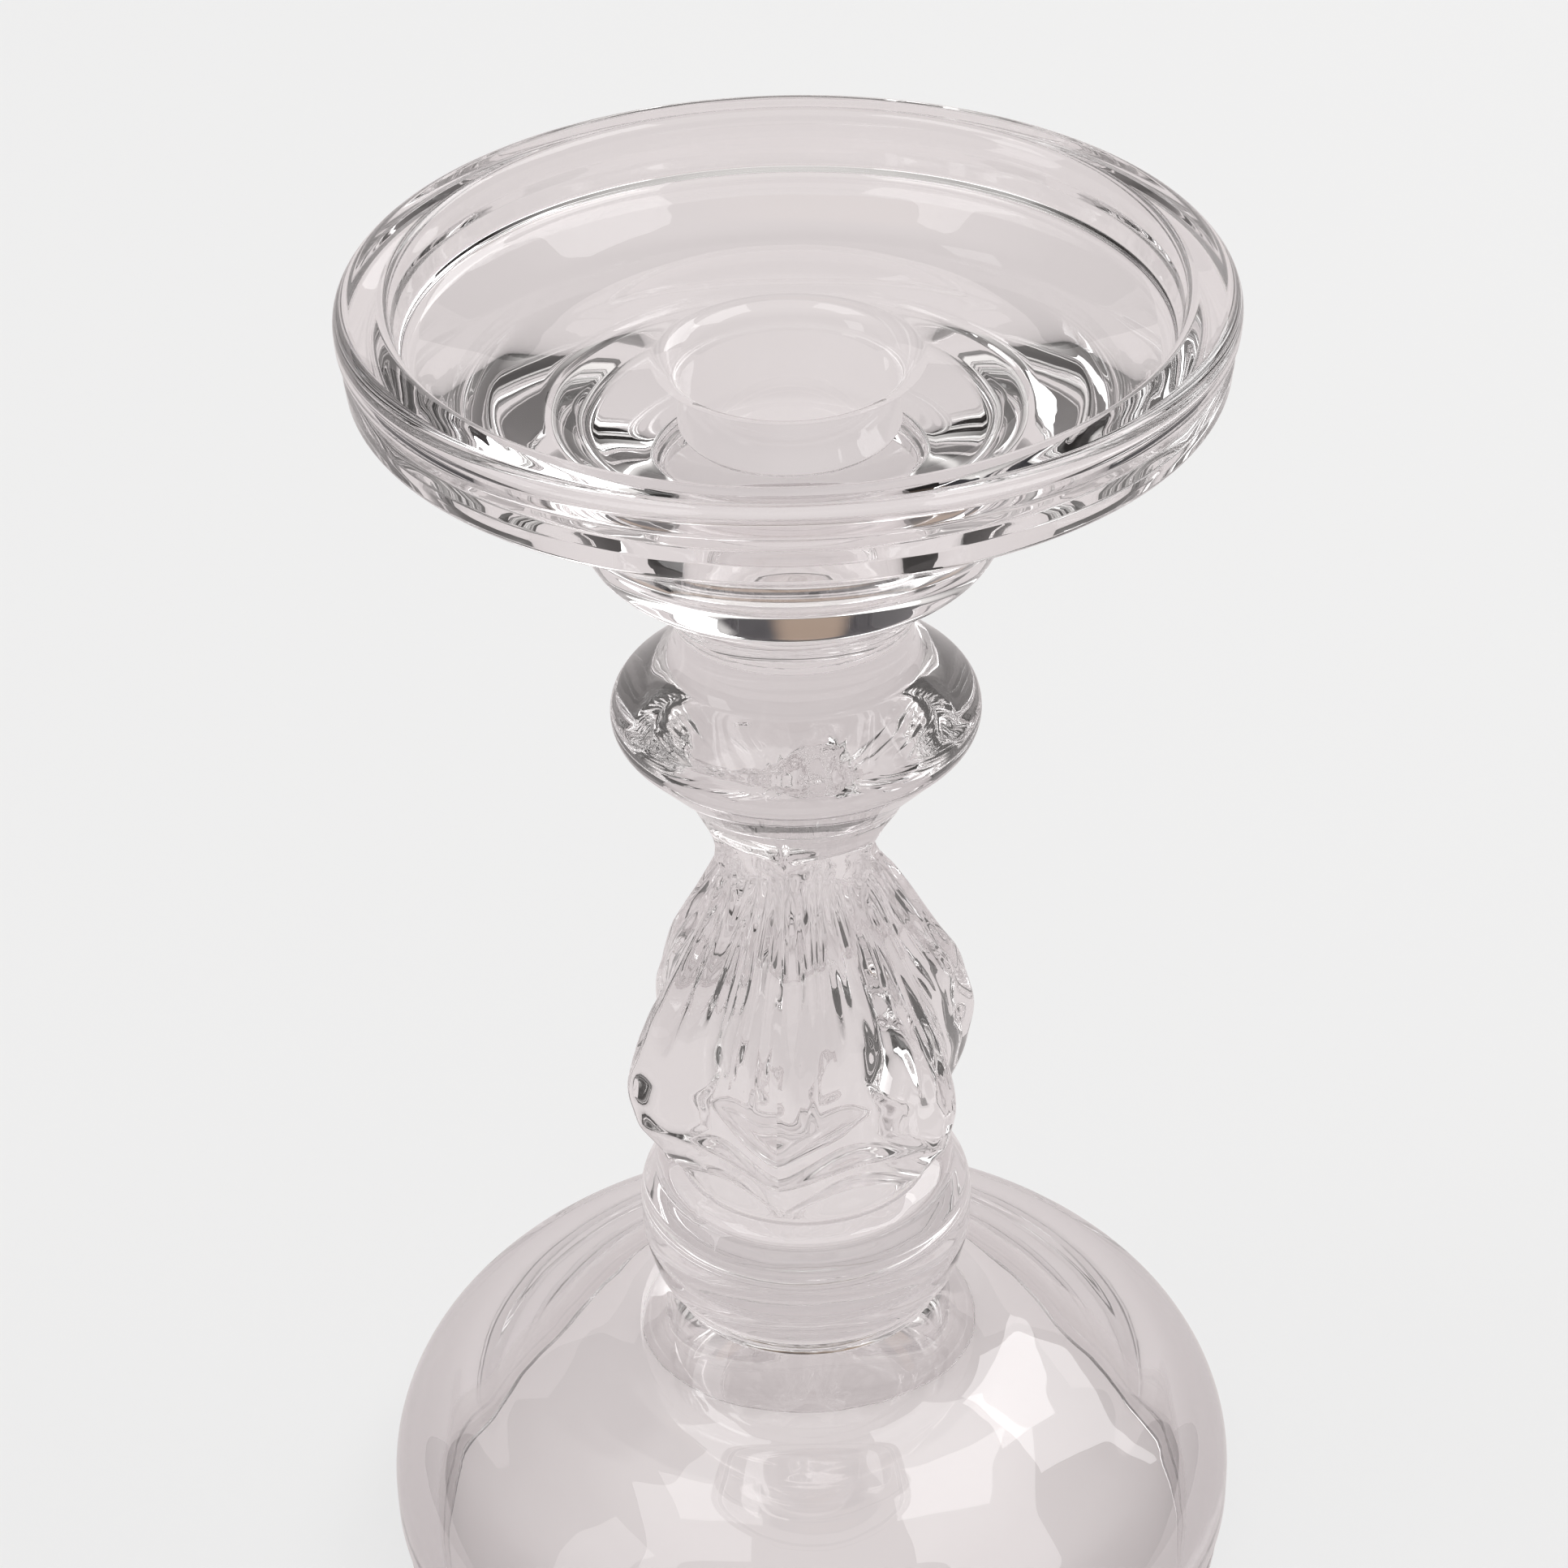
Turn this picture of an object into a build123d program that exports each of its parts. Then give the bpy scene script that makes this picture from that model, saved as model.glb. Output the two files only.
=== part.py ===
from build123d import *
import os
from math import cos, pi, radians, sin, sqrt, tan

os.makedirs("parts", exist_ok=True)

# Glass candlestick, standing on Z = 0 with its axis on Z. Sizes in millimetres.
# Three pressed pieces (foot, stem, dish with its candle socket) are joined end to
# end while hot, each joint through a flat wafer of glass.

# Joints: one radius each, and a small step outwards at each piece going up
lower_joint_radius = 16.8
lower_joint_step = 0.2
lower_wafer_height = 1.8
upper_joint_radius = 13.8
upper_joint_step = 0.3
upper_wafer_height = 1.5
wafer_edge_round = 0.5

# Two roundings on one side of an outline leave this much of it straight, as a ratio
rounding_spare = 1.01

# Foot: a heavy dome on a flat ground ring, hollow below
foot_radius = 54.1
foot_height = 39.4
foot_shoulder_height = 17.6
foot_shoulder_round = 14.0
foot_swell_radius = 37.0
foot_swell_drop = 12.2
foot_swell_round = 50.0
foot_flare_radius = 22.5
foot_flare_drop = 7.1
foot_flare_round = 14.0
foot_rim_wall = 5.3
foot_ground_round = 1.2
hollow_shoulder_height = 12.0
hollow_shoulder_lean = 0.6
hollow_shoulder_round = 12.0
hollow_flank_radius = 34.0
hollow_flank_drop = 15.4
hollow_flank_round = 34.0
hollow_crown_radius = 4.0
hollow_crown_drop = 6.4
hollow_crown_round = 20.0

# Rim profile, the same on foot and dish: a band below a fine groove.
# Setbacks are from the full radius of the rim.
rim_foot_setback = 1.0
rim_foot_round = 1.0
rim_band_height = 4.2
rim_band_setback = 0.7
rim_band_round = 1.2
rim_groove_run = 1.5
rim_groove_setback = 1.0
rim_groove_round = 0.6
rim_shoulder_run = 1.8
rim_shoulder_setback = 0.1
rim_shoulder_round = 2.0

# Stem: barrel collar, six-sided baluster, knop
collar_height = 18.3
collar_radius = 20.5
collar_rise = 7.2
collar_round = 8.0
collar_foot_radius = 19.3
collar_foot_rise = 2.4
collar_foot_round = 4.0
collar_shoulder_radius = 20.6
collar_shoulder_drop = 5.3
collar_shoulder_round = 5.0
collar_top_radius = 18.0
collar_top_drop = 1.3
collar_top_round = 4.0
tuck_radius = 15.0
baluster_height = 47.5
belly_height = 15.5
belly_radius = 22.7
baluster_neck_radius = 10.6
baluster_sides = 6
flute_depth = 5.0
flute_end_depth = 1.2
ridge_round = 1.6
ridge_end_round = 0.8
upper_stations = 7
lower_stations = 5
knop_height = 29.9
knop_radius = 21.6
knop_round = 3.5
knop_belly_height = 17.5
knop_upper_rise = 8.1
knop_top_round = 4.0
knop_neck_length = 1.0
knop_neck_round = 3.0
knop_throat_radius = 13.4
knop_throat_drop = 10.3
knop_throat_round = 9.0

# Dish: neck, thick bowl round the socket, shallow pan, upright rim
dish_radius = 49.6
dish_height = 40.4
dish_rim_height = 9.3
dish_rim_wall = 6.0
dish_lip_round = 1.9
dish_inner_lip_round = 1.4
dish_neck_length = 2.8
dish_neck_round = 1.2
cup_bottom_radius = 22.9
cup_bottom_rise = 8.1
cup_bottom_round = 6.0
cup_side_radius = 26.5
cup_side_rise = 15.1
cup_side_round = 12.0
bowl_radius = 36.0
bowl_rise = 24.8
bowl_round = 26.0
rim_root_width = 4.0
rim_root_drop = 0.6
rim_root_round = 4.0
pan_wall_lean = 1.3
pan_corner_rise = 2.2
pan_corner_round = 2.4
pan_low_radius = 30.0
pan_low_drop = 0.9
pan_low_round = 30.0
socket_radius = 12.0
socket_depth = 20.2
socket_mouth_rise = 0.4
socket_mouth_round = 3.2
socket_floor_round = 2.5

# Heights, stacked from the table up
foot_top = foot_height
stem_base = foot_top + lower_wafer_height
tuck = stem_base + collar_height
belly = tuck + belly_height
baluster_top = tuck + baluster_height
knop_belly = baluster_top + knop_belly_height
stem_top = baluster_top + knop_height
dish_base = stem_top + upper_wafer_height
dish_top = dish_base + dish_height


def roundings_that_fit(corners):
    """The corners' roundings, each made smaller where a side is too short for it."""
    points = [Vector(radius, height) for radius, height, rounding in corners]
    sides = [point - points[index - 1] for index, point in enumerate(points)]
    reaches = [
        rounding * tan(radians(side.get_angle(next_side)) / 2)
        for (radius, height, rounding), side, next_side in zip(corners, sides, sides[1:] + sides[:1])
    ]
    crowding = [
        (reaches[index - 1] + reaches[index]) / side.length for index, side in enumerate(sides)
    ]
    return [
        rounding / max(1, rounding_spare * max(before, after))
        for (radius, height, rounding), before, after in zip(corners, crowding, crowding[1:] + crowding[:1])
    ]


def half_section(*corners):
    """A closed outline to turn round Z. A corner is (radius, height, rounding)."""
    points = [(radius, height) for radius, height, rounding in corners]
    with BuildSketch(Plane.XZ) as section:
        with BuildLine():
            FilletPolyline(*points, radius=roundings_that_fit(corners), close=True)
        make_face()
    return section.sketch


def rim_corners(radius, base):
    """Outer corners of a rim, from its bottom edge up past the groove."""
    groove = base + rim_band_height
    return [
        (radius - rim_foot_setback, base, rim_foot_round),
        (radius - rim_band_setback, groove - rim_groove_run, rim_band_round),
        (radius - rim_groove_setback, groove, rim_groove_round),
        (radius - rim_shoulder_setback, groove + rim_shoulder_run, rim_shoulder_round),
    ]


# The foot, pressed as a dome with its underside hollowed by the plunger
foot_inner_radius = foot_radius - foot_rim_wall
hollow_crown = foot_height - hollow_crown_drop
foot_section = half_section(
    (0, hollow_crown, 0),
    (hollow_crown_radius, hollow_crown, hollow_crown_round),
    (hollow_flank_radius, foot_height - hollow_flank_drop, hollow_flank_round),
    (foot_inner_radius - hollow_shoulder_lean, hollow_shoulder_height, hollow_shoulder_round),
    (foot_inner_radius, 0, foot_ground_round),
    *rim_corners(foot_radius, 0),
    (foot_radius, foot_shoulder_height, foot_shoulder_round),
    (foot_swell_radius, foot_height - foot_swell_drop, foot_swell_round),
    (foot_flare_radius, foot_height - foot_flare_drop, foot_flare_round),
    (lower_joint_radius, foot_top, 0),
    (0, foot_top, 0),
)
with BuildPart() as domed_foot:
    revolve(foot_section, axis=Axis.Z)
domed_foot.part.label = "domed_foot"
export_step(domed_foot.part, "parts/domed_foot.step")


def wafer_section(radius, base, height):
    """A flat wafer of glass with its squeezed edge rounded over."""
    return half_section(
        (0, base, 0),
        (radius, base, wafer_edge_round),
        (radius, base + height, wafer_edge_round),
        (0, base + height, 0),
    )


lower_wafer_radius = lower_joint_radius + lower_joint_step
with BuildPart() as lower_wafer:
    revolve(wafer_section(lower_wafer_radius, foot_top, lower_wafer_height), axis=Axis.Z)
lower_wafer.part.label = "lower_wafer"
export_step(lower_wafer.part, "parts/lower_wafer.step")

upper_wafer_radius = upper_joint_radius + upper_joint_step
with BuildPart() as upper_wafer:
    revolve(wafer_section(upper_wafer_radius, stem_top, upper_wafer_height), axis=Axis.Z)
upper_wafer.part.label = "upper_wafer"
export_step(upper_wafer.part, "parts/upper_wafer.step")


def baluster_swell(height):
    """How far the baluster has swollen towards its belly, 0 to 1."""
    if height > belly:
        rise = (baluster_top - height) / (baluster_top - belly)
        return rise * rise * (3 - 2 * rise)
    return cos((belly - height) / belly_height * pi / 2)


def flute_share(height):
    """How deep the flutes are, from 0 at either end to 1 at the belly."""
    if height > belly:
        rise = (baluster_top - height) / (baluster_top - belly)
    else:
        rise = (height - tuck) / belly_height
    return 1 - (1 - rise) ** 2


def baluster_station(height):
    """One six-sided cross-section: hollow flutes between rounded ridges."""
    end_radius = baluster_neck_radius if height > belly else tuck_radius
    share = flute_share(height)
    ridge = end_radius + (belly_radius - end_radius) * baluster_swell(height)
    hollow = ridge - flute_end_depth - (flute_depth - flute_end_depth) * share
    step = 2 * pi / baluster_sides
    first = -pi / 2
    with BuildSketch(Plane.XY.offset(height)) as station:
        with BuildLine():
            for side in range(baluster_sides):
                start, middle, end = (first + step * (side + part) for part in (0, 0.5, 1))
                ThreePointArc(
                    (ridge * cos(start), ridge * sin(start)),
                    (hollow * cos(middle), hollow * sin(middle)),
                    (ridge * cos(end), ridge * sin(end)),
                )
        make_face()
        fillet(station.vertices(), ridge_end_round + (ridge_round - ridge_end_round) * share)
    return station.sketch


# The stem: collar below, knop above, and the fluted baluster between them
upper_step = (baluster_top - belly) / (upper_stations - 1)
lower_step = belly_height / (lower_stations - 1)
station_heights = [tuck + lower_step * count for count in range(lower_stations - 1)]
station_heights += [belly + upper_step * count for count in range(upper_stations)]
collar_section = half_section(
    (0, stem_base, 0),
    (lower_joint_radius + 2 * lower_joint_step, stem_base, 0),
    (collar_foot_radius, stem_base + collar_foot_rise, collar_foot_round),
    (collar_radius, stem_base + collar_rise, collar_round),
    (collar_shoulder_radius, tuck - collar_shoulder_drop, collar_shoulder_round),
    (collar_top_radius, tuck - collar_top_drop, collar_top_round),
    (tuck_radius, tuck, 0),
    (0, tuck, 0),
)
# The knop's flanks would meet in a point this far out, before its edge is rounded.
knop_point = knop_radius + knop_round * (sqrt(2) - 1)
knop_section = half_section(
    (0, baluster_top, 0),
    (baluster_neck_radius, baluster_top, 0),
    (baluster_neck_radius, baluster_top + knop_neck_length, knop_neck_round),
    (knop_throat_radius, knop_belly - knop_throat_drop, knop_throat_round),
    (knop_point, knop_belly, knop_round),
    (upper_joint_radius, knop_belly + knop_upper_rise, knop_top_round),
    (upper_joint_radius, stem_top, 0),
    (0, stem_top, 0),
)
with BuildPart() as baluster_stem:
    loft([baluster_station(height) for height in station_heights])
    revolve(collar_section, axis=Axis.Z)
    revolve(knop_section, axis=Axis.Z)
baluster_stem.part.label = "baluster_stem"
export_step(baluster_stem.part, "parts/baluster_stem.step")

# The dish and candle socket, one pressing: a plunger forms pan, lip and bore
dish_rim_base = dish_top - dish_rim_height
dish_neck_radius = upper_joint_radius + 2 * upper_joint_step
pan_rim_radius = dish_radius - dish_rim_wall
socket_mouth = dish_rim_base + socket_mouth_rise
socket_floor = socket_mouth - socket_depth
dish_section = half_section(
    (0, dish_base, 0),
    (dish_neck_radius, dish_base, 0),
    (dish_neck_radius, dish_base + dish_neck_length, dish_neck_round),
    (cup_bottom_radius, dish_base + cup_bottom_rise, cup_bottom_round),
    (cup_side_radius, dish_base + cup_side_rise, cup_side_round),
    (bowl_radius, dish_base + bowl_rise, bowl_round),
    (dish_radius - rim_root_width, dish_rim_base - rim_root_drop, rim_root_round),
    *rim_corners(dish_radius, dish_rim_base),
    (dish_radius, dish_top, dish_lip_round),
    (pan_rim_radius, dish_top, dish_inner_lip_round),
    (pan_rim_radius - pan_wall_lean, dish_rim_base + pan_corner_rise, pan_corner_round),
    (pan_low_radius, dish_rim_base - pan_low_drop, pan_low_round),
    (socket_radius, socket_mouth, socket_mouth_round),
    (socket_radius, socket_floor, socket_floor_round),
    (0, socket_floor, 0),
)
with BuildPart() as candle_dish:
    revolve(dish_section, axis=Axis.Z)
candle_dish.part.label = "candle_dish"
export_step(candle_dish.part, "parts/candle_dish.step")
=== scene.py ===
from math import atan2, ceil, cos, pi, radians, sin, tan

import bpy
from mathutils import Matrix, Vector


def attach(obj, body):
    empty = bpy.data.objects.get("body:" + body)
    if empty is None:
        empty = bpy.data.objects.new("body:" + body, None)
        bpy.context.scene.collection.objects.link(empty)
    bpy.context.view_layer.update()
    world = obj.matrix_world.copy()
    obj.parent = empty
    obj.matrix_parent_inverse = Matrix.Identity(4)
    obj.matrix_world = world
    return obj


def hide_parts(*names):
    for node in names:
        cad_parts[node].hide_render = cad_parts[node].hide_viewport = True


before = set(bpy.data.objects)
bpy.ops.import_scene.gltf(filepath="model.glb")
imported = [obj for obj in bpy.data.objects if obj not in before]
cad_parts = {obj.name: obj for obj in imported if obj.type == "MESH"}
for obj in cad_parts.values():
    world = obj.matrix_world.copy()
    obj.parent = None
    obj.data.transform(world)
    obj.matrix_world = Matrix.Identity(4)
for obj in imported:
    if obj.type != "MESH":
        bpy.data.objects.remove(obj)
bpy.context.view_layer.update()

scene = bpy.context.scene
MM = 0.001

# Camera: a long lens looks down on the candlestick from in front and above,
# and the frame cuts the foot off below. The candlestick keeps its own axes,
# with a mould seam facing -Y, so the camera and the studio are turned instead.
studio_turn = Matrix.Rotation(radians(8.5), 4, "Z")
yaw = radians(-0.214)
pitch = radians(33.790)
roll = radians(-1.315)
forward = Vector((sin(yaw) * cos(pitch), cos(yaw) * cos(pitch), -sin(pitch)))
level = Vector((cos(yaw), -sin(yaw), 0.0))
upright = level.cross(forward)
across = level * cos(roll) + upright * sin(roll)
above = upright * cos(roll) - level * sin(roll)
stance = Matrix.Translation((0.0, -0.42419, 0.39705))
facing = Matrix((across, above, -forward)).transposed().to_4x4()
lens = bpy.data.cameras.new("camera")
lens.lens = 100
lens.sensor_width = 36
camera = bpy.data.objects.new("camera", lens)
scene.collection.objects.link(camera)
camera.matrix_world = studio_turn @ stance @ facing
scene.camera = camera
scene.view_settings.view_transform = "Standard"

# Light crosses many walls of glass before it leaves, so paths may be long.
scene.cycles.max_bounces = 32
scene.cycles.transmission_bounces = 32
scene.cycles.glossy_bounces = 16
scene.cycles.transparent_max_bounces = 32


# Domed foot: one heavy pressed bell of clear glass, hollow below, with a
# turned band and a fine groove round its rim. The hot stem was set down on
# the flat pad at its top. It stands on the ground edge of the bell.
foot_radius = 54.1
foot_height = 39.4
foot_joint_radius = 16.8
band_height = 4.2

# The cast of the glass where it is thin and along its flow, and a painted
# shade for the rim, which deepens from the first of these radii to the second.
faint_cast = (0.985, 0.974, 0.974)
flow_cast = (0.968, 0.954, 0.956)
rim_painted_shade = (0.72, 0.70, 0.705)
rim_shade_starts = 42.0
rim_shade_full = 54.0
joined_cast = (0.98, 0.97, 0.97)

# The flow is hazy from the first of these heights of its noise to the second.
haze_starts = 0.55
haze_full = 0.75

# An outline has a point at least this often, in mm and in the turn of an arc.
point_step = 0.75
turn_step = radians(3.0)
fewest_in_arc = 3

# A length or a turn below this counts as none.
nothing = 1e-4

# Faces that meet at a sharper turn than this keep a hard edge.
hard_edge = radians(35)


def outline(*corners):
    """Points of a closed outline, from corners of radius, height, rounding.

    Each rounded corner is an arc that touches both of its sides. The points
    lie close enough together for light to cross the glass smoothly.
    """
    points = []
    count = len(corners)
    for place, (radius, height, rounding) in enumerate(corners):
        corner = Vector((radius, height))
        way_in = (corner - Vector(corners[place - 1][:2])).normalized()
        way_out = (Vector(corners[(place + 1) % count][:2]) - corner).normalized()
        turn = atan2(way_in.cross(way_out), way_in.dot(way_out))
        if rounding == 0 or abs(turn) < nothing:
            points.append(corner)
            continue
        start = corner - way_in * rounding * tan(abs(turn) / 2)
        side = 1 if turn > 0 else -1
        centre = start + Vector((-way_in.y, way_in.x)) * rounding * side
        arm = start - centre
        by_turn = ceil(abs(turn) / turn_step)
        by_length = ceil(abs(turn) * rounding / point_step)
        parts = max(fewest_in_arc, by_turn, by_length)
        for part in range(parts + 1):
            angle = turn * part / parts
            points.append(centre + Matrix.Rotation(angle, 2) @ arm)
    spaced = []
    for place, point in enumerate(points):
        after = points[(place + 1) % len(points)]
        spaced.append(point)
        if point.x < nothing and after.x < nothing:
            continue
        parts = ceil((after - point).length / point_step)
        for part in range(1, parts):
            spaced.append(point.lerp(after, part / parts))
    return spaced


def turned(name, points, joints, segments=288):
    """A closed turned body, in mm. Faces that lie on a joint height are marked."""
    verts = []
    rings = []
    for point in points:
        ring = [len(verts)]
        if point.x < nothing:
            verts.append((0.0, 0.0, point.y * MM))
        else:
            ring = list(range(len(verts), len(verts) + segments))
            for segment in range(segments):
                angle = 2 * pi * segment / segments
                x = point.x * MM * cos(angle)
                y = point.x * MM * sin(angle)
                verts.append((x, y, point.y * MM))
        rings.append(ring)
    faces = []
    on_joint = []
    for place, ring in enumerate(rings):
        after = rings[(place + 1) % len(rings)]
        if len(ring) == 1 and len(after) == 1:
            continue
        here = points[place].y
        there = points[(place + 1) % len(points)].y
        flat = any(abs(here - joint) + abs(there - joint) < nothing for joint in joints)
        for segment in range(segments):
            beside = (segment + 1) % segments
            if len(ring) == 1:
                face = (ring[0], after[beside], after[segment])
            elif len(after) == 1:
                face = (ring[segment], ring[beside], after[0])
            else:
                face = (ring[segment], ring[beside], after[beside], after[segment])
            faces.append(face)
            on_joint.append(flat)
    mesh = bpy.data.meshes.new(name)
    mesh.from_pydata(verts, [], faces)
    mesh.shade_smooth()
    mark = mesh.attributes.new("on_joint", "BOOLEAN", "FACE")
    mark.data.foreach_set("value", on_joint)
    body = bpy.data.objects.new(name, mesh)
    scene.collection.objects.link(body)
    return body


def rim(radius, base):
    """Corners of the turned band and the groove above it, going up."""
    top = base + band_height
    return [
        (radius - 1.0, base, 1.0),
        (radius - 0.7, top - 1.5, 1.2),
        (radius - 1.0, top, 0.6),
        (radius - 0.1, top + 1.8, 2.0),
    ]


def link(tree, source, target):
    """Links an output to an input in a node tree."""
    tree.links.new(source, target)


def laid_over(tree, below, share, colour):
    """A colour laid over another one where the share is 1."""
    over = tree.nodes.new("ShaderNodeMix")
    over.data_type = "RGBA"
    over.inputs["B"].default_value = (*colour, 1.0)
    link(tree, share, over.inputs["Factor"])
    link(tree, below, over.inputs["A"])
    return over.outputs["Result"]


def surface_group():
    """Marks that hand finishing leaves in clear glass."""
    group = bpy.data.node_groups.new("hand_finished_glass", "ShaderNodeTree")
    sockets = group.interface
    for name, value in (
        ("Ripple Size", 7.0),
        ("Flow Size", 22.0),
        ("Flow Share", 0.6),
        ("Haze", 0.02),
    ):
        entry = sockets.new_socket(name, in_out="INPUT", socket_type="NodeSocketFloat")
        entry.default_value = value
    sockets.new_socket("Height", in_out="OUTPUT", socket_type="NodeSocketFloat")
    sockets.new_socket("Roughness", in_out="OUTPUT", socket_type="NodeSocketFloat")
    sockets.new_socket("Tint", in_out="OUTPUT", socket_type="NodeSocketColor")
    nodes = group.nodes
    given = nodes.new("NodeGroupInput")
    made = nodes.new("NodeGroupOutput")
    where = nodes.new("ShaderNodeTexCoord")

    def noise(size_socket, detail, distortion=0.0):
        """Noise from 0 to 1; the socket gives the size of its lumps in mm."""
        per_metre = nodes.new("ShaderNodeMath")
        per_metre.operation = "DIVIDE"
        per_metre.inputs[0].default_value = 1 / MM
        link(group, size_socket, per_metre.inputs[1])
        texture = nodes.new("ShaderNodeTexNoise")
        texture.inputs["Detail"].default_value = detail
        texture.inputs["Distortion"].default_value = distortion
        link(group, where.outputs["Object"], texture.inputs["Vector"])
        link(group, per_metre.outputs[0], texture.inputs["Scale"])
        return texture.outputs["Fac"]

    ripple = noise(given.outputs["Ripple Size"], detail=1.0)
    flow = noise(given.outputs["Flow Size"], detail=2.0, distortion=0.8)
    height = nodes.new("ShaderNodeMix")
    link(group, given.outputs["Flow Share"], height.inputs["Factor"])
    link(group, ripple, height.inputs["A"])
    link(group, flow, height.inputs["B"])
    link(group, height.outputs["Result"], made.inputs["Height"])

    # Only the crests of the flow are hazy.
    smears = nodes.new("ShaderNodeMapRange")
    smears.inputs["From Min"].default_value = haze_starts
    smears.inputs["From Max"].default_value = haze_full
    link(group, flow, smears.inputs["Value"])
    link(group, given.outputs["Haze"], smears.inputs["To Max"])
    link(group, smears.outputs["Result"], made.inputs["Roughness"])

    # The faint cast is a little deeper along the flow.
    tint = nodes.new("ShaderNodeMix")
    tint.data_type = "RGBA"
    tint.inputs["A"].default_value = (*faint_cast, 1.0)
    tint.inputs["B"].default_value = (*flow_cast, 1.0)
    link(group, flow, tint.inputs["Factor"])
    link(group, tint.outputs["Result"], made.inputs["Tint"])
    return group


hand_finished = surface_group()


def clear_glass(name, ripple, flow, share, haze, relief):
    """Soda glass with a faint rose cast.

    The ripple and flow sizes and the relief of the two are in mm. The share
    is how much of the relief comes from the flow.
    """
    material = bpy.data.materials.new(name)
    material.use_nodes = True
    tree = material.node_tree
    glass = tree.nodes["Principled BSDF"]
    glass.inputs["Metallic"].default_value = 0.0
    glass.inputs["Transmission Weight"].default_value = 1.0
    glass.inputs["IOR"].default_value = 1.52
    marks = tree.nodes.new("ShaderNodeGroup")
    marks.node_tree = hand_finished
    marks.inputs["Ripple Size"].default_value = ripple
    marks.inputs["Flow Size"].default_value = flow
    marks.inputs["Flow Share"].default_value = share
    marks.inputs["Haze"].default_value = haze
    bump = tree.nodes.new("ShaderNodeBump")
    bump.inputs["Distance"].default_value = relief * MM
    link(tree, marks.outputs["Height"], bump.inputs["Height"])
    link(tree, bump.outputs["Normal"], glass.inputs["Normal"])
    link(tree, marks.outputs["Roughness"], glass.inputs["Roughness"])
    link(tree, marks.outputs["Tint"], glass.inputs["Base Color"])
    return material


def painted_shade_over(glass, share, colour):
    """Paints shade over the cast of a glass: a deeper colour where the share is 1."""
    tree = glass.node_tree
    cast = tree.nodes["Principled BSDF"].inputs["Base Color"]
    link(tree, laid_over(tree, cast.links[0].from_socket, share, colour), cast)


def rim_shade_share(glass):
    """Share of the painted rim shade: 0 over the dome of the foot, 1 at its full radius."""
    tree = glass.node_tree
    where = tree.nodes.new("ShaderNodeTexCoord")
    flattened = tree.nodes.new("ShaderNodeVectorMath")
    flattened.operation = "MULTIPLY"
    flattened.inputs[1].default_value = (1.0, 1.0, 0.0)
    from_axis = tree.nodes.new("ShaderNodeVectorMath")
    from_axis.operation = "LENGTH"
    share = tree.nodes.new("ShaderNodeMapRange")
    share.interpolation_type = "SMOOTHSTEP"
    share.inputs["From Min"].default_value = rim_shade_starts * MM
    share.inputs["From Max"].default_value = rim_shade_full * MM
    link(tree, where.outputs["Object"], flattened.inputs[0])
    link(tree, flattened.outputs["Vector"], from_axis.inputs[0])
    link(tree, from_axis.outputs["Value"], share.inputs["Value"])
    return share.outputs["Result"]


# Painted shade: the cast of the glass is darkened in the thick rim of the bell.
foot_glass = clear_glass(
    "foot_glass", ripple=9.0, flow=26.0, share=0.7, haze=0.008, relief=0.12
)
painted_shade_over(foot_glass, rim_shade_share(foot_glass), rim_painted_shade)

# Where two gathers were joined hot there is no surface left between them.
joined_glass = bpy.data.materials.new("joined_glass")
joined_glass.use_nodes = True
joined_surface = joined_glass.node_tree.nodes["Principled BSDF"]
joined_surface.inputs["Base Color"].default_value = (*joined_cast, 1.0)
joined_surface.inputs["Alpha"].default_value = 0.0


def tree_with(name, sizes):
    """An empty geometry tree with named sizes for inputs."""
    tree = bpy.data.node_groups.new(name, "GeometryNodeTree")
    sockets = tree.interface
    sockets.new_socket("Geometry", in_out="INPUT", socket_type="NodeSocketGeometry")
    for label, kind, value in sizes:
        entry = sockets.new_socket(label, in_out="INPUT", socket_type=kind)
        if value is not None:
            entry.default_value = value
    sockets.new_socket("Geometry", in_out="OUTPUT", socket_type="NodeSocketGeometry")
    return tree


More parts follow.
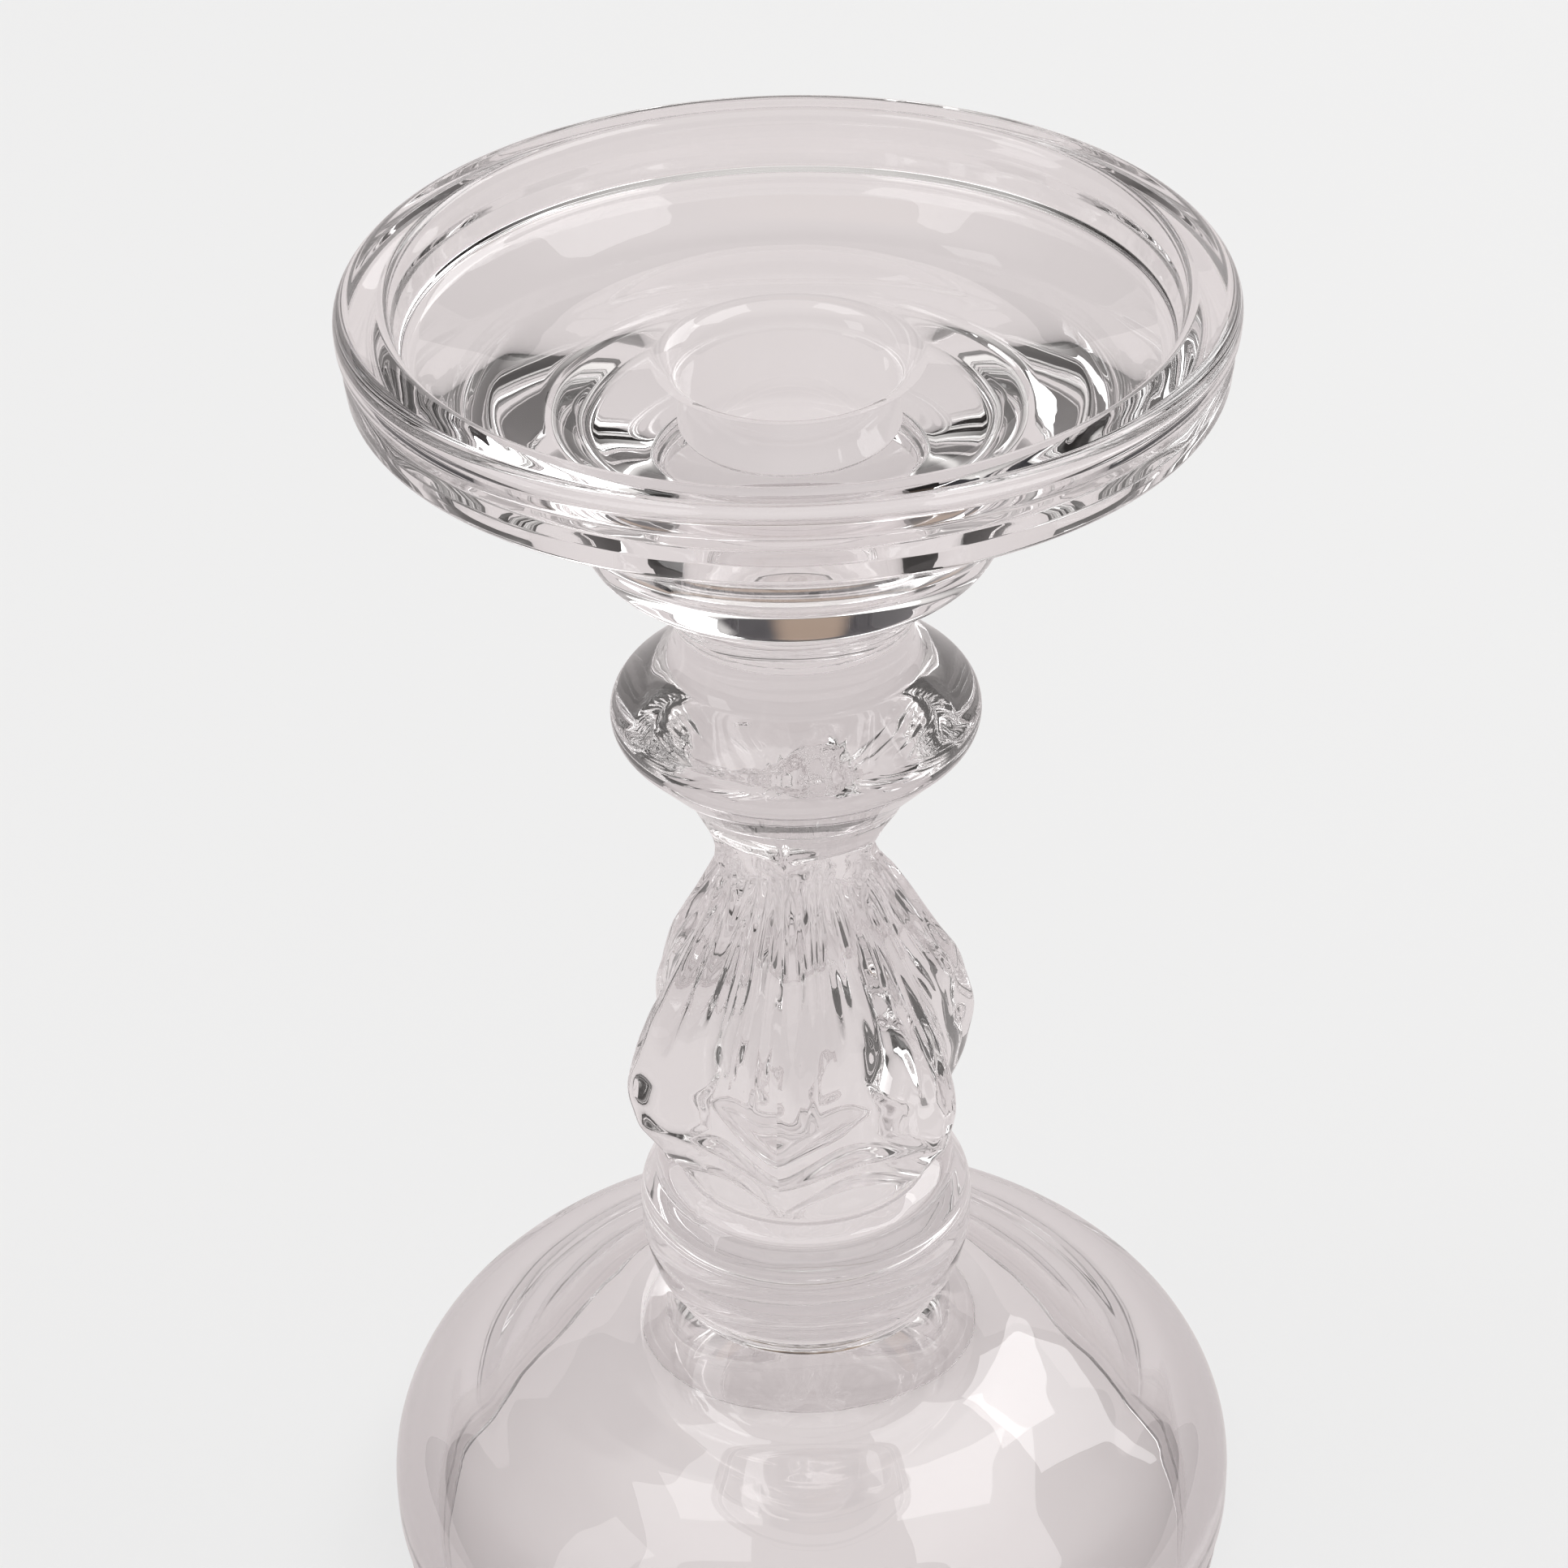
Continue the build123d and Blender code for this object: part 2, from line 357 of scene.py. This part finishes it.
class Sums:
    """Short names for the math nodes of one geometry tree."""

    def __init__(self, tree):
        self.tree = tree

    def node(self, kind, **settings):
        """A new node with these settings."""
        made = self.tree.nodes.new(kind)
        for name, value in settings.items():
            setattr(made, name, value)
        return made

    def feed(self, socket, value):
        """Gives an input a value, or links it to the output given."""
        if isinstance(value, bpy.types.NodeSocket):
            link(self.tree, value, socket)
        else:
            socket.default_value = value

    def math(self, operation, a, b=0.0, c=0.0):
        """The result of one sum."""
        made = self.node("ShaderNodeMath", operation=operation)
        for socket, value in zip(made.inputs, (a, b, c)):
            self.feed(socket, value)
        return made.outputs[0]

    def place(self):
        """Where each point lies, in mm: the whole vector, and X, Y and Z."""
        in_mm = self.node("ShaderNodeVectorMath", operation="SCALE")
        self.feed(in_mm.inputs[0], self.node("GeometryNodeInputPosition").outputs[0])
        self.feed(in_mm.inputs["Scale"], 1 / MM)
        split = self.node("ShaderNodeSeparateXYZ")
        self.feed(split.inputs[0], in_mm.outputs[0])
        return in_mm.outputs[0], *split.outputs

    def ease(self, value, start, end):
        """0 before start, 1 past end, smooth between."""
        made = self.node("ShaderNodeMapRange", interpolation_type="SMOOTHSTEP")
        self.feed(made.inputs["Value"], value)
        self.feed(made.inputs["From Min"], start)
        self.feed(made.inputs["From Max"], end)
        return made.outputs["Result"]

    def noise(self, vector, size, seed, detail=2.0):
        """Noise from 0 to 1 with lumps of the given size in mm."""
        made = self.node("ShaderNodeTexNoise", noise_dimensions="4D")
        self.feed(made.inputs["Vector"], vector)
        self.feed(made.inputs["W"], seed)
        self.feed(made.inputs["Scale"], self.math("DIVIDE", 1.0, size))
        self.feed(made.inputs["Detail"], detail)
        return made.outputs["Fac"]

    def finish(self, geometry, glass, joined):
        """The last nodes: real geometry, then the glass and the joints."""
        nodes = self.tree.nodes
        real = nodes.new("GeometryNodeRealizeInstances")
        all_glass = nodes.new("GeometryNodeSetMaterial")
        joints = nodes.new("GeometryNodeSetMaterial")
        mark = self.node("GeometryNodeInputNamedAttribute", data_type="BOOLEAN")
        mark.inputs["Name"].default_value = "on_joint"
        made = nodes.new("NodeGroupOutput")
        link(self.tree, geometry, real.inputs["Geometry"])
        link(self.tree, real.outputs["Geometry"], all_glass.inputs["Geometry"])
        link(self.tree, all_glass.outputs["Geometry"], joints.inputs["Geometry"])
        link(self.tree, mark.outputs["Attribute"], joints.inputs["Selection"])
        link(self.tree, glass, all_glass.inputs["Material"])
        link(self.tree, joined, joints.inputs["Material"])
        link(self.tree, joints.outputs["Geometry"], made.inputs["Geometry"])


# The waviness starts this far from a joint, in mm, and is full this far from it.
joint_run = (0.05, 1.5)


def waviness_tree():
    """Lets a turned body sag and swirl a little, always inwards."""
    tree = tree_with("hand_waviness", (
        ("Depth", "NodeSocketFloat", 0.05),
        ("Wave Size", "NodeSocketFloat", 14.0),
        ("Joint Low", "NodeSocketFloat", 0.0),
        ("Joint High", "NodeSocketFloat", 0.0),
        ("Seed", "NodeSocketFloat", 1.0),
        ("Glass", "NodeSocketMaterial", None),
        ("Joined", "NodeSocketMaterial", None),
    ))
    sums = Sums(tree)
    given = tree.nodes.new("NodeGroupInput").outputs
    in_mm, _, _, z = sums.place()
    from_low = sums.math("ABSOLUTE", sums.math("SUBTRACT", z, given["Joint Low"]))
    from_high = sums.math("ABSOLUTE", sums.math("SUBTRACT", z, given["Joint High"]))
    free = sums.ease(sums.math("MINIMUM", from_low, from_high), *joint_run)
    wave = sums.noise(in_mm, given["Wave Size"], given["Seed"])
    wave = sums.math("MULTIPLY", wave, given["Depth"])
    depth = sums.math("MULTIPLY", wave, -MM)
    inwards = sums.node("ShaderNodeVectorMath", operation="SCALE")
    sums.feed(inwards.inputs[0], sums.node("GeometryNodeInputNormal").outputs[0])
    sums.feed(inwards.inputs["Scale"], sums.math("MULTIPLY", depth, free))
    move = tree.nodes.new("GeometryNodeSetPosition")
    link(tree, given["Geometry"], move.inputs["Geometry"])
    link(tree, inwards.outputs[0], move.inputs["Offset"])
    sums.finish(move.outputs["Geometry"], given["Glass"], given["Joined"])
    return tree


def worked(body, tree, **sizes):
    """Runs a body through a tree and keeps the result as a plain mesh."""
    modifier = body.modifiers.new(tree.name, "NODES")
    modifier.node_group = tree
    for item in tree.interface.items_tree:
        label = item.name.replace(" ", "_").lower()
        if item.in_out == "INPUT" and label in sizes:
            modifier[item.identifier] = sizes[label]
    ready = body.evaluated_get(bpy.context.evaluated_depsgraph_get())
    rough = body.data
    body.data = bpy.data.meshes.new_from_object(ready)
    body.data.name = body.name
    body.modifiers.remove(modifier)
    bpy.data.meshes.remove(rough)
    body.data.set_sharp_from_angle(angle=hard_edge)


hand_waviness = waviness_tree()


def handed_in(body, node):
    """Puts a finished piece on the candlestick in place of its plain solid."""
    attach(body, "root")
    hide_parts(node)


foot = turned("domed_foot_glass", outline(
    # The hollow, from its crown down to the ground edge
    (0, 33.0, 0),
    (4, 33.0, 20),
    (34, 24.0, 34),
    (48.2, 12.0, 12),
    (48.8, 0, 1.2),
    # The outside, from the rim up over the dome to the pad
    *rim(foot_radius, 0),
    (foot_radius, 17.6, 14),
    (37.0, 27.2, 50),
    (22.5, 32.3, 14),
    (foot_joint_radius, foot_height, 0),
    (0, foot_height, 0),
), joints=(foot_height,))
worked(
    foot, hand_waviness, depth=0.12, wave_size=18.0, joint_low=foot_height,
    joint_high=foot_height, seed=3.0, glass=foot_glass, joined=joined_glass,
)
handed_in(foot, "domed_foot")


# Lower wafer: a small pad of hot glass between the foot and the stem. It
# welded the two together and squeezed out to a narrow, uneven edge.
stem_base = 41.2
wafer_radius = 17.0
wafer_edge = 0.5
wafer_glass = clear_glass(
    "wafer_glass", ripple=2.2, flow=6.0, share=0.4, haze=0.008, relief=0.10
)
lower_wafer = turned("lower_wafer_glass", outline(
    (0, foot_height, 0),
    (wafer_radius, foot_height, wafer_edge),
    (wafer_radius, stem_base, wafer_edge),
    (0, stem_base, 0),
), joints=(foot_height, stem_base))
worked(
    lower_wafer, hand_waviness, depth=0.40, wave_size=2.6, joint_low=foot_height,
    joint_high=stem_base, seed=5.0, glass=wafer_glass, joined=joined_glass,
)
handed_in(lower_wafer, "lower_wafer")


# Stem: collar, six-sided baluster and knop, pressed as one solid length in a
# two-part mould. It keeps the mould's seam, six soft ridges with hollowed
# panels between them, and the fine wrinkles of glass that chilled too soon.
collar_base_radius = 17.2
tuck = 59.5
belly = 75.0
baluster_top = 110.5
stem_top = 136.9
stem_radius = 13.8
knop_height = 124.5
knop_reach = 23.05
stem_segments = 300

# A panel reaches its depth over these lengths, at its lower and upper end.
panel_foot_run = 4.0
panel_top_run = 3.0

# The streaks are drawn on a drum, with its heights shrunk so that they come
# out long. The strongest of them are kept, and more of them near the neck.
# A pair of heights is where a mark starts to change and where it has changed.
streak_drum = 15.0
streak_stretch = 0.12
streak_detail = 0.7
streak_least = 0.75
streak_gain = 0.55
streaks_come_in = (74.0, 93.0)
streaks_go_out = (106.0, 103.0)

# The wrinkles keep off the front, by the cosine of the turn away from it.
wrinkles_come_in = (98.0, 101.0)
wrinkles_go_out = (112.2, 110.8)
wrinkles_off_front = (0.6, 0.1)

# The seam rises from its edge to its crest, by the distance from its line.
seam_comes_in = (60.0, 64.0)
seam_goes_out = (122.0, 120.0)
seam_edge_to_crest = (0.45, 0.05)

# Points nearer to the axis than this stay where they are.
still_core = 9.0

# The chilled skin gets a painted shade, a darker grey cast over the wrinkles
# wholly and over the streaks in part.
chill_painted_shade = (0.76, 0.735, 0.74)
shade_in_streaks = 0.7
streak_fully_shaded = 0.15


def baluster_tree():
    """Hollows the panels between the ridges and wrinkles the chilled skin."""
    tree = tree_with("six_sided_baluster", (
        ("Sides", "NodeSocketFloat", 6.0),
        ("Panel Depth", "NodeSocketFloat", 5.0),
        ("Top Depth", "NodeSocketFloat", 3.0),
        ("Foot Depth", "NodeSocketFloat", 2.5),
        ("Ridge Softness", "NodeSocketFloat", 0.10),
        ("Tuck Height", "NodeSocketFloat", tuck),
        ("Belly Height", "NodeSocketFloat", belly),
        ("Top Height", "NodeSocketFloat", baluster_top),
        ("Streak Depth", "NodeSocketFloat", 3.2),
        ("Streak Size", "NodeSocketFloat", 2.2),
        ("Chill Depth", "NodeSocketFloat", 1.2),
        ("Chill Size", "NodeSocketFloat", 1.1),
        ("Seam Height", "NodeSocketFloat", 0.10),
        ("Seed", "NodeSocketFloat", 7.0),
        ("Glass", "NodeSocketMaterial", None),
        ("Joined", "NodeSocketMaterial", None),
    ))
    sums = Sums(tree)
    math = sums.math
    given = tree.nodes.new("NodeGroupInput").outputs
    in_mm, x, y, z = sums.place()
    angle = math("ADD", math("ARCTAN2", y, x), pi / 2)
    radius = math("SQRT", math("ADD", math("POWER", x, 2.0), math("POWER", y, 2.0)))

    # Across a panel the hollow is nothing at a ridge and full half-way to the next.
    half_sides = math("MULTIPLY", given["Sides"], 0.5)
    wave = math("SINE", math("MULTIPLY", angle, half_sides))
    soft = math("POWER", given["Ridge Softness"], 2.0)
    raw = math("SQRT", math("ADD", math("POWER", wave, 2.0), soft))
    most = math("SQRT", math("ADD", soft, 1.0))
    panel = math(
        "DIVIDE",
        math("SUBTRACT", raw, given["Ridge Softness"]),
        math("SUBTRACT", most, given["Ridge Softness"]),
    )

    # The panels are deepest at the belly and shallower towards both ends.
    over = sums.ease(z, given["Top Height"], given["Belly Height"])
    under = sums.ease(z, given["Belly Height"], given["Tuck Height"])
    more = math("SUBTRACT", given["Panel Depth"], given["Top Depth"])
    less = math("SUBTRACT", given["Foot Depth"], given["Panel Depth"])
    depth = math("MULTIPLY_ADD", more, over, given["Top Depth"])
    depth = math("MULTIPLY_ADD", less, under, depth)
    full_above = math("ADD", given["Tuck Height"], panel_foot_run)
    full_below = math("SUBTRACT", given["Top Height"], panel_top_run)
    starts = sums.ease(z, given["Tuck Height"], full_above)
    stops = sums.ease(z, given["Top Height"], full_below)
    hollow = math("MULTIPLY", math("MULTIPLY", depth, panel), math("MULTIPLY", starts, stops))

    # Long streaks run down from the neck and die out over the belly.
    around = sums.node("ShaderNodeCombineXYZ")
    sums.feed(around.inputs["X"], math("MULTIPLY", math("COSINE", angle), streak_drum))
    sums.feed(around.inputs["Y"], math("MULTIPLY", math("SINE", angle), streak_drum))
    sums.feed(around.inputs["Z"], math("MULTIPLY", z, streak_stretch))
    streak = sums.noise(
        around.outputs[0], given["Streak Size"], given["Seed"], streak_detail
    )
    gain = math("MULTIPLY", sums.ease(z, *streaks_come_in), streak_gain)
    streak = math("SUBTRACT", math("ADD", streak, gain), streak_least)
    streak = math("MAXIMUM", streak, 0.0)
    zone = sums.ease(z, *streaks_go_out)
    streaks = math("MULTIPLY", math("MULTIPLY", streak, given["Streak Depth"]), zone)

    # Short wrinkles lie round the back and sides of the neck.
    crumple = sums.noise(in_mm, given["Chill Size"], given["Seed"])
    around_neck = math(
        "MULTIPLY", sums.ease(z, *wrinkles_come_in), sums.ease(z, *wrinkles_go_out)
    )
    off_front = sums.ease(math("COSINE", angle), *wrinkles_off_front)
    wrinkled = math("MULTIPLY", around_neck, off_front)
    chill = math("MULTIPLY", math("MULTIPLY", crumple, given["Chill Depth"]), wrinkled)

    # The seam stands proud in a thin line on two opposite ridges.
    line = sums.ease(math("ABSOLUTE", x), *seam_edge_to_crest)
    seam = math("MULTIPLY", line, given["Seam Height"])
    seam_zone = math("MULTIPLY", sums.ease(z, *seam_comes_in), sums.ease(z, *seam_goes_out))
    seam = math("MULTIPLY", seam, seam_zone)

    # All of it moves a point straight towards the axis, or away from it.
    cut = math("SUBTRACT", math("ADD", math("ADD", hollow, streaks), chill), seam)
    share = math("DIVIDE", cut, math("MAXIMUM", radius, 1.0))
    outside = math("GREATER_THAN", radius, still_core)
    share = math("MULTIPLY", math("MULTIPLY", share, outside), -MM)
    flat = sums.node("ShaderNodeCombineXYZ")
    sums.feed(flat.inputs["X"], math("MULTIPLY", x, share))
    sums.feed(flat.inputs["Y"], math("MULTIPLY", y, share))
    move = tree.nodes.new("GeometryNodeSetPosition")
    link(tree, given["Geometry"], move.inputs["Geometry"])
    link(tree, flat.outputs[0], move.inputs["Offset"])

    # The chilled skin is kept for the glass, which paints shade there.
    skin = sums.node("GeometryNodeStoreNamedAttribute", data_type="FLOAT")
    skin.inputs["Name"].default_value = "chilled"
    link(tree, move.outputs["Geometry"], skin.inputs["Geometry"])
    streak_shade = sums.ease(streak, 0.0, streak_fully_shaded)
    streak_shade = math("MULTIPLY", streak_shade, shade_in_streaks)
    marked = math("MAXIMUM", streak_shade, wrinkled)
    sums.feed(skin.inputs["Value"], math("MULTIPLY", marked, outside))
    sums.finish(skin.outputs["Geometry"], given["Glass"], given["Joined"])
    return tree


stem_glass = clear_glass(
    "stem_glass", ripple=5.0, flow=14.0, share=0.5, haze=0.008, relief=0.05
)
# Painted shade: the stem glass is darker grey over its chilled skin.
chilled = stem_glass.node_tree.nodes.new("ShaderNodeAttribute")
chilled.attribute_name = "chilled"
painted_shade_over(stem_glass, chilled.outputs["Fac"], chill_painted_shade)
stem = turned("baluster_stem_glass", outline(
    # Collar
    (0, stem_base, 0),
    (collar_base_radius, stem_base, 0),
    (19.3, 43.6, 4),
    (20.5, 48.4, 8),
    (20.6, 54.2, 5),
    (18.0, 58.2, 4),
    (15.0, tuck, 0.6),
    # Baluster, along its ridges
    (17.6, 62.6, 2),
    (21.6, 69.0, 6),
    (23.0, belly, 8),
    (20.5, 84.5, 12),
    (16.0, 93.0, 14),
    (11.6, 100.8, 12),
    (10.45, 107.6, 5),
    # Knop
    (13.4, 114.2, 9),
    (knop_reach, knop_height, 3.5),
    (stem_radius, 132.6, 4.0),
    (stem_radius, stem_top, 0),
    (0, stem_top, 0),
), joints=(stem_base, stem_top), segments=stem_segments)
worked(
    stem, baluster_tree(), sides=6.0, panel_depth=5.0, top_depth=3.0, foot_depth=2.5,
    ridge_softness=0.10, tuck_height=tuck, belly_height=belly,
    top_height=baluster_top, streak_depth=3.2, streak_size=2.2,
    chill_depth=1.2, chill_size=1.1, seam_height=0.10, seed=7.0,
    glass=stem_glass, joined=joined_glass,
)
handed_in(stem, "baluster_stem")


# Upper wafer: a thin disc of hot glass that carries the dish on the stem.
dish_base = 138.4
upper_radius = 14.1
upper_edge = 0.35
upper_wafer = turned("upper_wafer_glass", outline(
    (0, stem_top, 0),
    (upper_radius, stem_top, upper_edge),
    (upper_radius, dish_base, upper_edge),
    (0, dish_base, 0),
), joints=(stem_top, dish_base))
worked(
    upper_wafer, hand_waviness, depth=0.2, wave_size=3.0, joint_low=stem_top,
    joint_high=dish_base, seed=9.0, glass=wafer_glass, joined=joined_glass,
)
handed_in(upper_wafer, "upper_wafer")


# Candle dish: a heavy pressed bowl with a wide pan for drips and a bore for
# the candle in its middle. The rim has the same band and groove as the foot,
# and the lip was rounded again in the fire.
dish_top = 178.8
dish_radius = 49.6
band_base = 169.5
bore_radius = 12.0
bore_floor = 149.7
bore_mouth = 169.9
dish_joint_radius = 14.4
dish_segments = 240
dish_glass = clear_glass(
    "dish_glass", ripple=8.0, flow=24.0, share=0.6, haze=0.008, relief=0.02
)
dish = turned("candle_dish_glass", outline(
    # Underside: neck, cup and bowl, out to the rim
    (0, dish_base, 0),
    (dish_joint_radius, dish_base, 0),
    (dish_joint_radius, 141.2, 1.2),
    (22.9, 146.5, 6),
    (26.5, 153.5, 12),
    (36.0, 163.2, 26),
    (45.6, 168.9, 4),
    # Rim and lip, then the pan and the bore
    *rim(dish_radius, band_base),
    (dish_radius, dish_top, 1.9),
    (43.6, dish_top, 1.4),
    (42.3, 171.7, 2.4),
    (30.0, 168.6, 30),
    (bore_radius, bore_mouth, 3.2),
    (bore_radius, bore_floor, 2.5),
    (0, bore_floor, 0),
), joints=(dish_base,), segments=dish_segments)
worked(
    dish, hand_waviness, depth=0.03, wave_size=12.0, joint_low=dish_base,
    joint_high=dish_base, seed=11.0, glass=dish_glass, joined=joined_glass,
)
handed_in(dish, "candle_dish")


# Studio: a pale sheet runs under the candlestick and curls up behind it. It
# shows its own tone to the lens and through the glass, and keeps part of the
# shadow. Two soft boxes hang overhead, and two light the back and one side.
sheet_paper = (0.871, 0.871, 0.871)
sheet_tone = (0.900, 0.900, 0.900)
sheet_tone_in_glass = (0.770, 0.715, 0.715)
tone_share = 0.8

# These are in metres, along the studio's own axes.
sheet_front = -1.2
sheet_back = 0.80
sheet_top = 0.75
sheet_side = 1.4
sheet_gap = 0.0005
curl_radius = 0.25
curl_parts = 12
lamps_aim_at = (0.0, 0.0, 0.1)


def pale_sheet():
    """Matt paper that shows one even tone to the lens, and another to glass."""
    material = bpy.data.materials.new("pale_sheet")
    material.use_nodes = True
    tree = material.node_tree
    nodes = tree.nodes
    paper = nodes["Principled BSDF"]
    paper.inputs["Base Color"].default_value = (*sheet_paper, 1.0)
    paper.inputs["Roughness"].default_value = 0.9
    paper.inputs["Specular IOR Level"].default_value = 0.0
    path = nodes.new("ShaderNodeLightPath")
    tone = nodes.new("ShaderNodeEmission")
    colour = nodes.new("ShaderNodeMix")
    colour.data_type = "RGBA"
    colour.inputs["A"].default_value = (*sheet_tone_in_glass, 1.0)
    colour.inputs["B"].default_value = (*sheet_tone, 1.0)
    link(tree, path.outputs["Is Camera Ray"], colour.inputs["Factor"])
    link(tree, colour.outputs["Result"], tone.inputs["Color"])
    seen = nodes.new("ShaderNodeMath")
    seen.operation = "MAXIMUM"
    link(tree, path.outputs["Is Camera Ray"], seen.inputs[0])
    link(tree, path.outputs["Is Glossy Ray"], seen.inputs[1])
    through = nodes.new("ShaderNodeMath")
    through.operation = "MAXIMUM"
    link(tree, seen.outputs[0], through.inputs[0])
    link(tree, path.outputs["Is Transmission Ray"], through.inputs[1])
    share = nodes.new("ShaderNodeMath")
    share.operation = "MULTIPLY"
    share.inputs[1].default_value = tone_share
    link(tree, through.outputs[0], share.inputs[0])
    mix = nodes.new("ShaderNodeMixShader")
    link(tree, share.outputs[0], mix.inputs[0])
    link(tree, paper.outputs[0], mix.inputs[1])
    link(tree, tone.outputs[0], mix.inputs[2])
    link(tree, mix.outputs[0], nodes["Material Output"].inputs["Surface"])
    return material


def sheet():
    """Lays the sheet: flat, then a quarter turn, then straight up."""
    line = [(sheet_front, 0.0)]
    for part in range(curl_parts + 1):
        angle = radians(90 * part / curl_parts)
        rise = curl_radius - curl_radius * cos(angle)
        line.append((sheet_back + curl_radius * sin(angle), rise))
    line.append((sheet_back + curl_radius, sheet_top))
    verts = []
    faces = []
    for place, (depth, height) in enumerate(line):
        for side in (-sheet_side, sheet_side):
            verts.append(studio_turn @ Vector((side, depth, height - sheet_gap)))
        if place:
            last = 2 * place
            faces.append((last - 2, last - 1, last + 1, last))
    mesh = bpy.data.meshes.new("floor")
    mesh.from_pydata(verts, [], faces)
    mesh.shade_smooth()
    mesh.materials.append(pale_sheet())
    body = bpy.data.objects.new("floor", mesh)
    scene.collection.objects.link(body)


def soft_box(name, place, size, watts):
    """Hangs a rectangular lamp that faces the candlestick."""
    lamp = bpy.data.lights.new(name, "AREA")
    lamp.shape = "RECTANGLE"
    lamp.size, lamp.size_y = size
    lamp.energy = watts
    body = bpy.data.objects.new(name, lamp)
    scene.collection.objects.link(body)
    aim = Vector(lamps_aim_at) - Vector(place)
    body.location = studio_turn @ Vector(place)
    body.rotation_euler = (studio_turn.to_3x3() @ aim).to_track_quat("-Z", "Y").to_euler()


sheet()
soft_box("box_right", place=(0.46, 0.14, 1.0), size=(0.60, 0.46), watts=2.0)
soft_box("box_left", place=(-0.34, 0.04, 1.0), size=(0.40, 0.34), watts=0.8)
soft_box("panel_back", place=(0.66, 0.76, 0.95), size=(0.75, 0.50), watts=3.6)
soft_box("panel_side", place=(-0.95, -0.30, 0.62), size=(0.35, 0.50), watts=0.9)

# The walls of the room are dark and its ceiling is pale. A dark patch and a
# warm one hang high at the back, and a little light comes from the front.
dark_wall = (0.015, 0.013, 0.012)
pale_ceiling = (0.95, 0.93, 0.91)
dark_patch = (0.02, 0.02, 0.025)
warm_patch = (0.36, 0.26, 0.19)

# By the height of a direction, from 0 level to 1 straight up, the walls end
# and the ceiling is full. By its depth, from 1 at the back to -1 in front,
# the front light starts and is full, and there it has this share.
wall_top = 0.60
ceiling_edge = 0.85
front_starts = 0.2
front_full = -0.9
front_share = 0.15

room = bpy.data.worlds.new("room")
room.use_nodes = True
scene.world = room
walls = room.node_tree
outlook = walls.nodes.new("ShaderNodeTexCoord").outputs["Generated"]
towards = walls.nodes.new("ShaderNodeSeparateXYZ")
link(walls, outlook, towards.inputs[0])


def opening(azimuth, elevation, inner, outer):
    """1 in a round patch of the room, 0 outside it, by angles from the middle."""
    east = sin(radians(azimuth)) * cos(radians(elevation))
    north = cos(radians(azimuth)) * cos(radians(elevation))
    along = walls.nodes.new("ShaderNodeVectorMath")
    along.operation = "DOT_PRODUCT"
    along.inputs[1].default_value = studio_turn @ Vector((east, north, sin(radians(elevation))))
    link(walls, outlook, along.inputs[0])
    inside = walls.nodes.new("ShaderNodeMapRange")
    inside.interpolation_type = "SMOOTHSTEP"
    inside.inputs["From Min"].default_value = cos(radians(outer))
    inside.inputs["From Max"].default_value = cos(radians(inner))
    link(walls, along.outputs["Value"], inside.inputs["Value"])
    return inside.outputs["Result"]


upwards = walls.nodes.new("ShaderNodeValToRGB")
lower, upper = upwards.color_ramp.elements
lower.position = wall_top
lower.color = (*dark_wall, 1.0)
upper.position = ceiling_edge
upper.color = (*pale_ceiling, 1.0)
link(walls, towards.outputs["Z"], upwards.inputs[0])
at_back = opening(azimuth=-11, elevation=45, inner=25, outer=28)
dark_back = laid_over(walls, upwards.outputs["Color"], at_back, dark_patch)
above_back = opening(azimuth=-8, elevation=59, inner=5, outer=11)
warm_back = laid_over(walls, dark_back, above_back, warm_patch)
front = walls.nodes.new("ShaderNodeMapRange")
front.inputs["From Min"].default_value = front_starts
front.inputs["From Max"].default_value = front_full
front.inputs["To Max"].default_value = front_share
link(walls, towards.outputs["Y"], front.inputs["Value"])
lit = laid_over(walls, warm_back, front.outputs["Result"], pale_ceiling)
link(walls, lit, walls.nodes["Background"].inputs["Color"])
